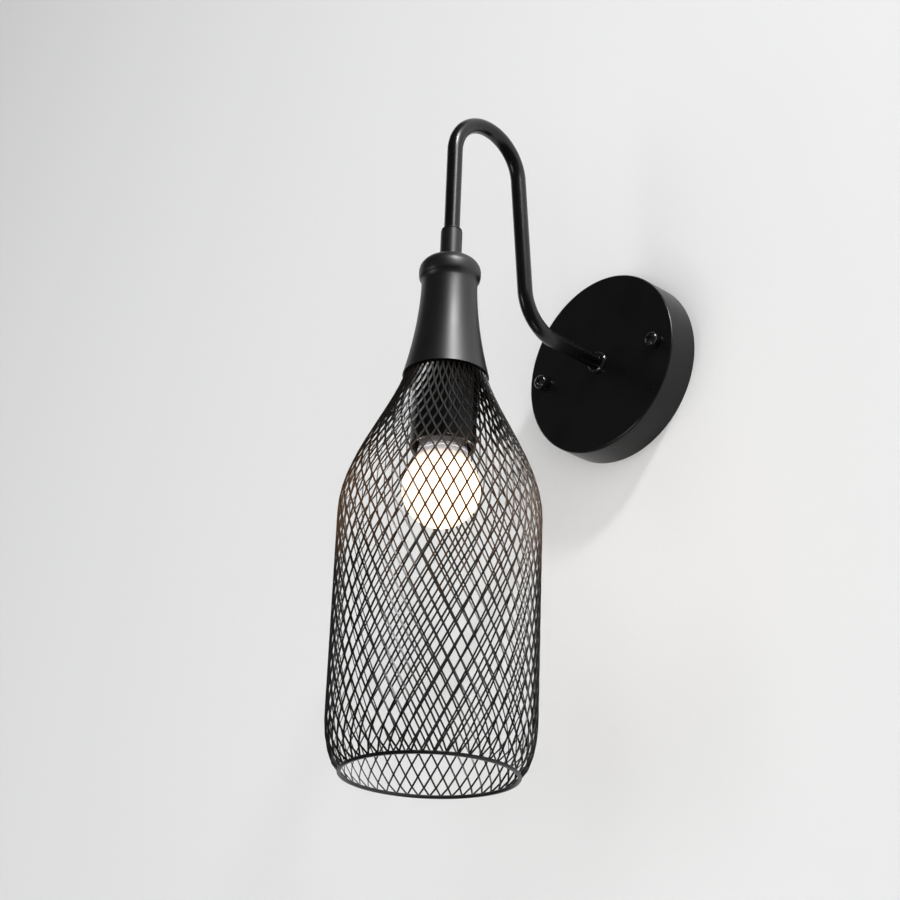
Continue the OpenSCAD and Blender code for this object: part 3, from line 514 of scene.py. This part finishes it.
def neck_outline(inset):
    """The neck's outside from its seat to its rim, drawn in by an inset."""
    bulge = 2 / BEAD_POWER
    start = math.acos((radius_of("arm_collar") / BEAD_R) ** (1 / bulge))
    rise = (SEAT_Z - BEAD_Z) / math.sin(start) ** bulge
    dome = []
    for i in range(37):
        a = start * (1 - i / 36)
        dome.append(((BEAD_R - inset) * math.cos(a) ** bulge,
                     BEAD_Z + (rise - inset) * math.sin(a) ** bulge))
    under = [(WAIST_R + (BEAD_R - WAIST_R) * math.sqrt(1 - t * t) - inset, BEAD_Z - BEAD_TUCK * t)
             for t in (0.2, 0.4, 0.55, 0.68)]
    crease = (WAIST_R - inset + 0.05, CREASE_Z)
    lead_z = CREASE_Z - 5
    blend = corner(under[-1], crease, (flare_r(lead_z) - inset, lead_z), 2.0, 8)
    flare = []
    flare_top_z = CREASE_Z - 2.2
    for i in range(1, 33):
        z = flare_top_z + (NECK_RIM_Z - flare_top_z) * i / 32
        flare.append((flare_r(z) - inset, z))
    return dome + under + blend + flare


def make_neck():
    """A thin shell: a bead at its head, a crease under the bead and a flared skirt."""
    under_z = SEAT_Z - SEAT_T
    under_r = 8.4
    outline = [(TUBE_HOLE_R, SEAT_Z)] + neck_outline(0.0)
    outline += [p for p in reversed(neck_outline(NECK_WALL)) if p[1] < under_z]
    outline += [(under_r, under_z), (TUBE_HOLE_R, under_z)]
    return lathe("neck_shell", outline, SHADE_AXIS, SATIN_BLACK, segments=144, sharp=50)


# ---- Cage ---------------------------------------------------------------------------------------

CAGE_R = 57.5
CAGE_TOP_Z = NECK_RIM_Z + 4.0
SHOULDER_H = 92.0
SHOULDER_SLOPE = 0.7   # how fast the shoulder widens where it leaves the neck
CURL_H = 31.0
CURL_REACH = 0.97      # how far down a quarter of an ellipse the curl runs
CAGE_TOP_GAP = 1.0     # from the neck's inside to the middle of the strands
CAGE_TOP_R = flare_r(CAGE_TOP_Z) - NECK_WALL - CAGE_TOP_GAP

MESH_AROUND = 49
MESH_ROWS = 35
STRAND_W = 1.0
STRAND_T = 0.45
STRAND_LEAN = 34.0     # how far a strand's section is turned, in degrees
STRAND_OFFSET = 0.27   # a strand's middle from its knot's, as a share of its width
KNOT_H = 1.0


def shoulder_r(t):
    """The cage's radius down its shoulder, from 0 at its top to 1 at its foot."""
    rise = SHOULDER_SLOPE * (t ** 3 - 2 * t ** 2 + t) + 3 * t ** 2 - 2 * t ** 3
    return CAGE_TOP_R + (CAGE_R - CAGE_TOP_R) * rise


def curl_r(t):
    """The cage's radius where it curls in towards its rim."""
    end = math.sqrt(1 - CURL_REACH ** 2)
    return RIM_R + (CAGE_R - RIM_R) * (math.sqrt(1 - t * t) - end) / (1 - end)


def cage_r(z):
    """The cage's radius at a height."""
    down = CAGE_TOP_Z - z
    up = z - RIM_Z
    if down < SHOULDER_H:
        return shoulder_r(down / SHOULDER_H)
    if up < CURL_H:
        return curl_r((CURL_H - up) / CURL_H * CURL_REACH)
    return CAGE_R


def net_tree():
    """Strands of an expanded net: zigzags down an outline, set side by side around the axis.

    The outline comes in as a line in the XZ plane. Two zigzags meet at each knot and run beside
    each other for a short way, as the strands of a slit and stretched sheet do.
    """
    tree = bpy.data.node_groups.new("expanded_net", "GeometryNodeTree")
    face = tree.interface
    for name, kind in (("Outline", "Geometry"), ("Around", "Int"), ("Rows", "Int"),
                       ("Strand Width", "Float"), ("Strand Thickness", "Float"),
                       ("Knot Height", "Float"), ("Lean", "Float"), ("Material", "Material")):
        face.new_socket(name=name, in_out="INPUT", socket_type="NodeSocket" + kind)
    face.new_socket(name="Net", in_out="OUTPUT", socket_type="NodeSocketGeometry")
    nodes, links = tree.nodes, tree.links
    inside = nodes.new("NodeGroupInput")
    outside = nodes.new("NodeGroupOutput")

    def sum_of(operation, a, b=None, c=None):
        """A sum of numbers or outputs, by the name of its operation."""
        node = nodes.new("ShaderNodeMath")
        node.operation = operation
        for socket, value in zip(node.inputs, (a, b, c)):
            if value is None:
                continue
            if isinstance(value, (int, float)):
                socket.default_value = value
            else:
                links.new(value, socket)
        return node.outputs[0]

    def of_vectors(operation, a, b=None):
        node = nodes.new("ShaderNodeVectorMath")
        node.operation = operation
        links.new(a, node.inputs[0])
        if b is not None:
            links.new(b, node.inputs[1])
        return node.outputs[0]

    def scaled(vector, value):
        node = nodes.new("ShaderNodeVectorMath")
        node.operation = "SCALE"
        links.new(vector, node.inputs[0])
        links.new(value, node.inputs["Scale"])
        return node.outputs[0]

    outline = nodes.new("GeometryNodeMeshToCurve")
    links.new(inside.outputs["Outline"], outline.inputs["Mesh"])
    length = nodes.new("GeometryNodeCurveLength")
    links.new(outline.outputs["Curve"], length.inputs["Curve"])
    rows = inside.outputs["Rows"]
    spacing = sum_of("DIVIDE", length.outputs["Length"], rows)
    count = sum_of("MULTIPLY_ADD", rows, 2, 2)
    index = nodes.new("GeometryNodeInputIndex").outputs["Index"]
    row = sum_of("FLOOR", sum_of("DIVIDE", index, 2))
    lower_end = sum_of("MODULO", index, 2)
    half_knot = sum_of("MULTIPLY", inside.outputs["Knot Height"], 0.5)
    along = sum_of("ADD", sum_of("MULTIPLY", row, spacing),
                   sum_of("MULTIPLY", sum_of("MULTIPLY_ADD", lower_end, 2, -1), half_knot))
    at = nodes.new("GeometryNodeSampleCurve")
    at.mode = "LENGTH"
    links.new(outline.outputs["Curve"], at.inputs["Curves"])
    links.new(along, at.inputs["Length"])
    place = nodes.new("ShaderNodeSeparateXYZ")
    links.new(at.outputs["Position"], place.inputs[0])
    radius = place.outputs["X"]
    odd = sum_of("MODULO", row, 2)
    step = sum_of("DIVIDE", 2 * math.pi, inside.outputs["Around"])
    # How far the strand's middle stands from the knot's, as an angle
    offset = sum_of("MULTIPLY", inside.outputs["Strand Width"], STRAND_OFFSET)
    aside = sum_of("DIVIDE", offset, radius)
    swing = sum_of("ADD", sum_of("MULTIPLY", odd, sum_of("MULTIPLY", step, 0.5)),
                   sum_of("MULTIPLY", sum_of("MULTIPLY_ADD", odd, -2, 1), aside))

    line = nodes.new("GeometryNodeCurvePrimitiveLine")
    strand_line = nodes.new("GeometryNodeResampleCurve")
    links.new(line.outputs["Curve"], strand_line.inputs["Curve"])
    links.new(count, strand_line.inputs["Count"])
    # The slanting strand that a point belongs to: it runs from one knot's lower end to the next
    # knot's upper end, and its flat side leans the same way at both
    last = sum_of("SUBTRACT", rows, 1)
    before = sum_of("FLOOR", sum_of("DIVIDE", sum_of("SUBTRACT", index, 1), 2))
    strand_no = sum_of("MINIMUM", sum_of("MAXIMUM", before, 0), last)
    halves = nodes.new("GeometryNodeJoinGeometry")
    for side in (-1, 1):
        angle = sum_of("MULTIPLY", swing, side)
        point = nodes.new("ShaderNodeCombineXYZ")
        links.new(sum_of("MULTIPLY", radius, sum_of("COSINE", angle)), point.inputs["X"])
        links.new(sum_of("MULTIPLY", radius, sum_of("SINE", angle)), point.inputs["Y"])
        links.new(place.outputs["Z"], point.inputs["Z"])
        moved = nodes.new("GeometryNodeSetPosition")
        links.new(strand_line.outputs["Curve"], moved.inputs["Geometry"])
        links.new(point.outputs[0], moved.inputs["Position"])
        outward = nodes.new("ShaderNodeCombineXYZ")
        links.new(sum_of("COSINE", angle), outward.inputs["X"])
        links.new(sum_of("SINE", angle), outward.inputs["Y"])
        ends = []
        for first in (1, 2):
            end = nodes.new("GeometryNodeFieldAtIndex")
            end.data_type = "FLOAT_VECTOR"
            links.new(point.outputs[0], end.inputs["Value"])
            links.new(sum_of("MULTIPLY_ADD", strand_no, 2, first), end.inputs["Index"])
            ends.append(end.outputs["Value"])
        along_strand = of_vectors("NORMALIZE", of_vectors("SUBTRACT", ends[1], ends[0]))
        across = of_vectors("NORMALIZE",
                            of_vectors("CROSS_PRODUCT", outward.outputs[0], along_strand))
        square = of_vectors("CROSS_PRODUCT", along_strand, across)
        normal = of_vectors("ADD", scaled(square, sum_of("COSINE", inside.outputs["Lean"])),
                            scaled(across, sum_of("SINE", inside.outputs["Lean"])))
        facing = nodes.new("GeometryNodeSetCurveNormal")
        facing.mode = "FREE"
        links.new(moved.outputs["Geometry"], facing.inputs["Curve"])
        links.new(normal, facing.inputs["Normal"])
        links.new(facing.outputs["Curve"], halves.inputs[0])

    section = nodes.new("GeometryNodeCurvePrimitiveQuadrilateral")
    links.new(inside.outputs["Strand Thickness"], section.inputs["Width"])
    links.new(inside.outputs["Strand Width"], section.inputs["Height"])
    strand = nodes.new("GeometryNodeCurveToMesh")
    links.new(halves.outputs["Geometry"], strand.inputs["Curve"])
    links.new(section.outputs["Curve"], strand.inputs["Profile Curve"])
    strand.inputs["Fill Caps"].default_value = True

    spots = nodes.new("GeometryNodePoints")
    links.new(inside.outputs["Around"], spots.inputs["Count"])
    turn = nodes.new("ShaderNodeCombineXYZ")
    links.new(sum_of("MULTIPLY", nodes.new("GeometryNodeInputIndex").outputs["Index"], step),
              turn.inputs["Z"])
    around = nodes.new("GeometryNodeInstanceOnPoints")
    links.new(spots.outputs[0], around.inputs["Points"])
    links.new(strand.outputs["Mesh"], around.inputs["Instance"])
    links.new(turn.outputs[0], around.inputs["Rotation"])
    real = nodes.new("GeometryNodeRealizeInstances")
    links.new(around.outputs["Instances"], real.inputs["Geometry"])
    facets = nodes.new("GeometryNodeSetShadeSmooth")
    facets.inputs["Shade Smooth"].default_value = False
    links.new(real.outputs["Geometry"], facets.inputs["Geometry"])
    paint = nodes.new("GeometryNodeSetMaterial")
    links.new(facets.outputs["Geometry"], paint.inputs["Geometry"])
    links.new(inside.outputs["Material"], paint.inputs["Material"])
    links.new(paint.outputs["Geometry"], outside.inputs["Net"])
    return tree


def run_tree(name, points, tree, values):
    """Runs a tree on a line of points and returns its result as a plain mesh piece."""
    start = bpy.data.meshes.new(name + "_line")
    start.from_pydata(points, [(i, i + 1) for i in range(len(points) - 1)], [])
    maker = bpy.data.objects.new(name + "_maker", start)
    bpy.context.scene.collection.objects.link(maker)
    modifier = maker.modifiers.new("make", "NODES")
    modifier.node_group = tree
    for socket in tree.interface.items_tree:
        if socket.in_out == "INPUT" and socket.name in values:
            modifier[socket.identifier] = values[socket.name]
    graph = bpy.context.evaluated_depsgraph_get()
    graph.update()
    mesh = bpy.data.meshes.new_from_object(maker.evaluated_get(graph))
    maker.modifiers.remove(modifier)
    bpy.data.objects.remove(maker)
    mesh.name = name
    piece = bpy.data.objects.new(name, mesh)
    bpy.context.scene.collection.objects.link(piece)
    return piece


def make_net():
    """The net, made on a line that follows the cage's outline from its top to its rim."""
    steps = 160
    line = []
    for i in range(steps + 1):
        z = CAGE_TOP_Z + (RIM_Z - CAGE_TOP_Z) * i / steps
        line.append((cage_r(z) * MM, 0.0, z * MM))
    piece = run_tree("cage_net", line, net_tree(), {
        "Around": MESH_AROUND, "Rows": MESH_ROWS, "Strand Width": STRAND_W * MM,
        "Strand Thickness": STRAND_T * MM, "Knot Height": KNOT_H * MM,
        "Lean": math.radians(STRAND_LEAN), "Material": NET_BLACK})
    piece.data.transform(Matrix.Translation((0, -REACH * MM, 0)))
    return piece


def make_rim():
    """A hem folded round the net's lower edge, with a shallow groove where its lips meet."""
    h = 1.05           # half its height
    w = 1.1            # half its width
    groove_h = 0.3
    groove = 0.35
    side_h = h - 0.7   # its flat sides end here, and its top and foot are crowned
    crown_w = w - 0.5
    crown_h = h - 0.1
    middle = RIM_LOW.z + h
    section = [(w, -side_h), (w, -groove_h), (w - groove, 0.0), (w, groove_h), (w, side_h),
               (crown_w, crown_h), (0.0, h), (-crown_w, crown_h), (-w, side_h),
               (-w, -side_h), (-crown_w, -crown_h), (0.0, -h), (crown_w, -crown_h)]
    outline = [(RIM_R + x, middle + z) for x, z in section]
    return lathe("cage_hem", outline, SHADE_AXIS, SATIN_BLACK, segments=160, sharp=35)


# ---- Lamp holder --------------------------------------------------------------------------------

def make_holder():
    """A sleeve with a small lip round its lower end."""
    low, high = HOLDER_LOW.z, HOLDER_HIGH.z
    wall = 1.8
    outline = [(HOLDER_R - wall, high), (HOLDER_R - 0.3, high), (HOLDER_R - 0.05, high - 0.3),
               (HOLDER_R - 0.25, low + 1.6), (HOLDER_R, low + 1.3), (HOLDER_R, low + 0.5),
               (HOLDER_R - 0.4, low), (HOLDER_R - wall + 0.3, low), (HOLDER_R - wall, low + 0.4)]
    return lathe("holder_sleeve", outline, SHADE_AXIS, HOLDER_BLACK, segments=128)


# ---- Bulb ---------------------------------------------------------------------------------------

def make_globe():
    """A ball that runs on in a cone, which touches it all round, up to the bulb's collar."""
    r = GLOBE_R
    z0 = GLOBE_LOW.z + r
    top_r = 14.2
    top_h = GLOBE_HIGH.z - z0
    touch = math.atan2(top_h, top_r) - math.acos(r / math.hypot(top_r, top_h))
    outline = [(top_r, z0 + top_h)]
    outline += arc(0, z0, r, math.degrees(touch), -90, 48)
    outline[-1] = (0.0, z0 - r)
    return lathe("bulb_opal", outline, SHADE_AXIS, LAMP_OPAL, segments=96, closed=False, sharp=60)


def make_bulb_collar():
    """A tapering cup round the globe's top, with a narrower sleeve above it."""
    low, high = BULB_COLLAR_LOW.z, BULB_COLLAR_HIGH.z
    r = radius_of("bulb_collar")
    cup_top_r = 13.1
    cup_top_z = high - 6.0
    sleeve_r = 11.4
    bore = 10.6
    outline = [(r - 1.6, low), (r - 0.3, low), (r, low + 0.4), (r, low + 2.0),
               (r - 0.35, low + 2.4), (cup_top_r, cup_top_z), (sleeve_r, cup_top_z),
               (sleeve_r, high), (bore, high), (bore, high - 7.0)]
    return lathe("bulb_ring", outline, SHADE_AXIS, BULB_GREY)


# ---- Pieces and the bodies that carry them ------------------------------------------------------

PIECES = [
    (make_canopy, "root", ["canopy"], "canopy_black"),
    (make_screws, "root", ["canopy_screws"], "gloss_black"),
    (make_arm, "root", ["arm_tube"], "satin_black"),
    (make_ferrule, "root", ["arm_ferrule"], "gloss_black"),
    (make_collar, "root", ["arm_collar"], "satin_black"),
    (make_neck, "root", ["neck"], "satin_black"),
    (make_net, "root", ["cage_mesh"], "mesh_black"),
    (make_rim, "root", ["cage_rim"], "satin_black"),
    (make_holder, "root", ["holder_body"], "holder_black"),
    (make_globe, "bulb", ["bulb_globe"], "globe_opal"),
    (make_bulb_collar, "bulb", ["bulb_collar"], "bulb_grey"),
]

for make, body, nodes, slot in PIECES:
    made = make()
    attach(made, body)
    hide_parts(*nodes)

NODE_FINISH = {
    "canopy_black": MATT_BLACK, "gloss_black": GLOSS_BLACK, "satin_black": SATIN_BLACK,
    "mesh_black": NET_BLACK, "zinc": ZINC, "green_zinc": GREEN_ZINC, "brass": BRASS,
    "white_plastic": MILKY_PLASTIC, "holder_black": HOLDER_BLACK, "block_white": BLOCK_WHITE,
    "bulb_grey": BULB_GREY, "bulb_nickel": NICKEL, "bulb_insulator": INSULATOR_BLACK,
    "board_white": MILKY_PLASTIC, "globe_opal": LAMP_OPAL, "lead_black": LEAD_BLACK,
    "lead_white": LEAD_WHITE, "lead_green": LEAD_GREEN, "connector_orange": CONNECTOR_ORANGE,
}
for part in frame["record"]["subparts"]:
    node = frame["nodes"][part["node"]]
    for place in node.material_slots:
        place.material = NODE_FINISH[part["material_slot"]]


# ---- Wall, light and camera ---------------------------------------------------------------------

def make_wall():
    """A pale wall, which is clear when it is seen from behind."""
    material = bpy.data.materials.new("wall_paint")
    material.use_nodes = True
    tree = material.node_tree
    shader = tree.nodes["Principled BSDF"]
    shader.inputs["Base Color"].default_value = (0.85, 0.85, 0.85, 1)
    shader.inputs["Roughness"].default_value = 0.85
    shader.inputs["Specular IOR Level"].default_value = 0.2
    behind = tree.nodes.new("ShaderNodeNewGeometry")
    clear = tree.nodes.new("ShaderNodeBsdfTransparent")
    mix = tree.nodes.new("ShaderNodeMixShader")
    out = tree.nodes["Material Output"]
    tree.links.new(behind.outputs["Backfacing"], mix.inputs["Fac"])
    tree.links.new(shader.outputs["BSDF"], mix.inputs[1])
    tree.links.new(clear.outputs["BSDF"], mix.inputs[2])
    tree.links.new(mix.outputs["Shader"], out.inputs["Surface"])
    half = 3.0
    gap = 0.0002
    mesh = bpy.data.meshes.new("wall")
    mesh.from_pydata([(-half, gap, -half), (half, gap, -half), (half, gap, half),
                      (-half, gap, half)], [], [(0, 1, 2, 3)])
    mesh.materials.append(material)
    wall = bpy.data.objects.new("wall", mesh)
    bpy.context.scene.collection.objects.link(wall)


def aim(obj, place, target):
    """Puts a light at a place and turns it towards a target."""
    obj.location = place
    obj.rotation_euler = (Vector(target) - Vector(place)).to_track_quat("-Z", "Y").to_euler()


def area_light(name, place, target, width, height, power, diffuse=True, glossy=True):
    """A soft box. The fills don't show in gloss, and the sheens show only there."""
    lamp = bpy.data.lights.new(name, "AREA")
    lamp.shape = "RECTANGLE"
    lamp.size = width
    lamp.size_y = height
    lamp.energy = power
    obj = bpy.data.objects.new(name, lamp)
    bpy.context.scene.collection.objects.link(obj)
    obj.visible_diffuse = diffuse
    obj.visible_glossy = glossy
    aim(obj, place, target)


ROOM_LIGHT = 0.06   # how strongly the room lights the object
ROOM_SHOWN = 0.82   # how light it looks where the wall doesn't reach


def make_lights():
    """One small key light, soft fills, sheens for the gloss and a faint room light."""
    middle = (0, -0.10, -0.08)
    area_light("key", (1.50, -0.82, 1.83), middle, 0.25, 0.25, 34)
    area_light("right_fill", (2.3, -2.5, -1.5), middle, 2.0, 2.0, 34, glossy=False)
    area_light("front_fill", (0.2, -2.2, -0.2), middle, 2.0, 2.0, 18, glossy=False)
    area_light("left_fill", (-1.1, -1.8, -0.6), middle, 2.0, 2.0, 14, glossy=False)
    area_light("upper_fill", (1.6, -2.2, 1.0), middle, 2.0, 2.0, 14, glossy=False)
    area_light("right_sheen", (2.15, -0.7, 1.9), middle, 0.95, 1.2, 40, diffuse=False)
    area_light("front_left_sheen", (-1.0, -2.4, -0.3), middle, 0.5, 0.7, 6, diffuse=False)
    area_light("left_sheen", (-2.4, -0.3, 0.8), middle, 1.0, 1.4, 3, diffuse=False)
    world = bpy.data.worlds.new("room")
    bpy.context.scene.world = world
    world.use_nodes = True
    tree = world.node_tree
    rays = tree.nodes.new("ShaderNodeLightPath")
    back = tree.nodes["Background"]
    back.inputs["Color"].default_value = (0.96, 0.98, 1.0, 1)
    tree.links.new(ranged(tree, rays.outputs["Is Camera Ray"], ROOM_LIGHT, ROOM_SHOWN, 0.0, 1.0),
                   back.inputs["Strength"])


CAMERA_PLACE = Vector((762.8, -873.6, -557.5)) * MM
CAMERA_YAW = math.radians(46.48)
CAMERA_PITCH = math.radians(23.40)
CAMERA_ROLL = math.radians(2.29)
CAMERA_LENS = 79.74


def make_camera():
    """The photograph's view: from the right and below."""
    camera = bpy.data.cameras.new("camera")
    camera.lens = CAMERA_LENS
    camera.sensor_width = 36.0
    obj = bpy.data.objects.new("camera", camera)
    bpy.context.scene.collection.objects.link(obj)
    level = Vector((-math.sin(CAMERA_YAW), math.cos(CAMERA_YAW), 0))
    forward = math.cos(CAMERA_PITCH) * level + Vector((0, 0, math.sin(CAMERA_PITCH)))
    right = Vector((math.cos(CAMERA_YAW), math.sin(CAMERA_YAW), 0))
    up = right.cross(forward)
    tilted_right = math.cos(CAMERA_ROLL) * right + math.sin(CAMERA_ROLL) * up
    tilted_up = math.cos(CAMERA_ROLL) * up - math.sin(CAMERA_ROLL) * right
    turn = Matrix((tilted_right, tilted_up, -forward)).transposed()
    obj.matrix_world = Matrix.Translation(CAMERA_PLACE) @ turn.to_4x4()
    bpy.context.scene.camera = obj


make_wall()
make_lights()
make_camera()
bpy.context.scene.view_settings.view_transform = "Standard"
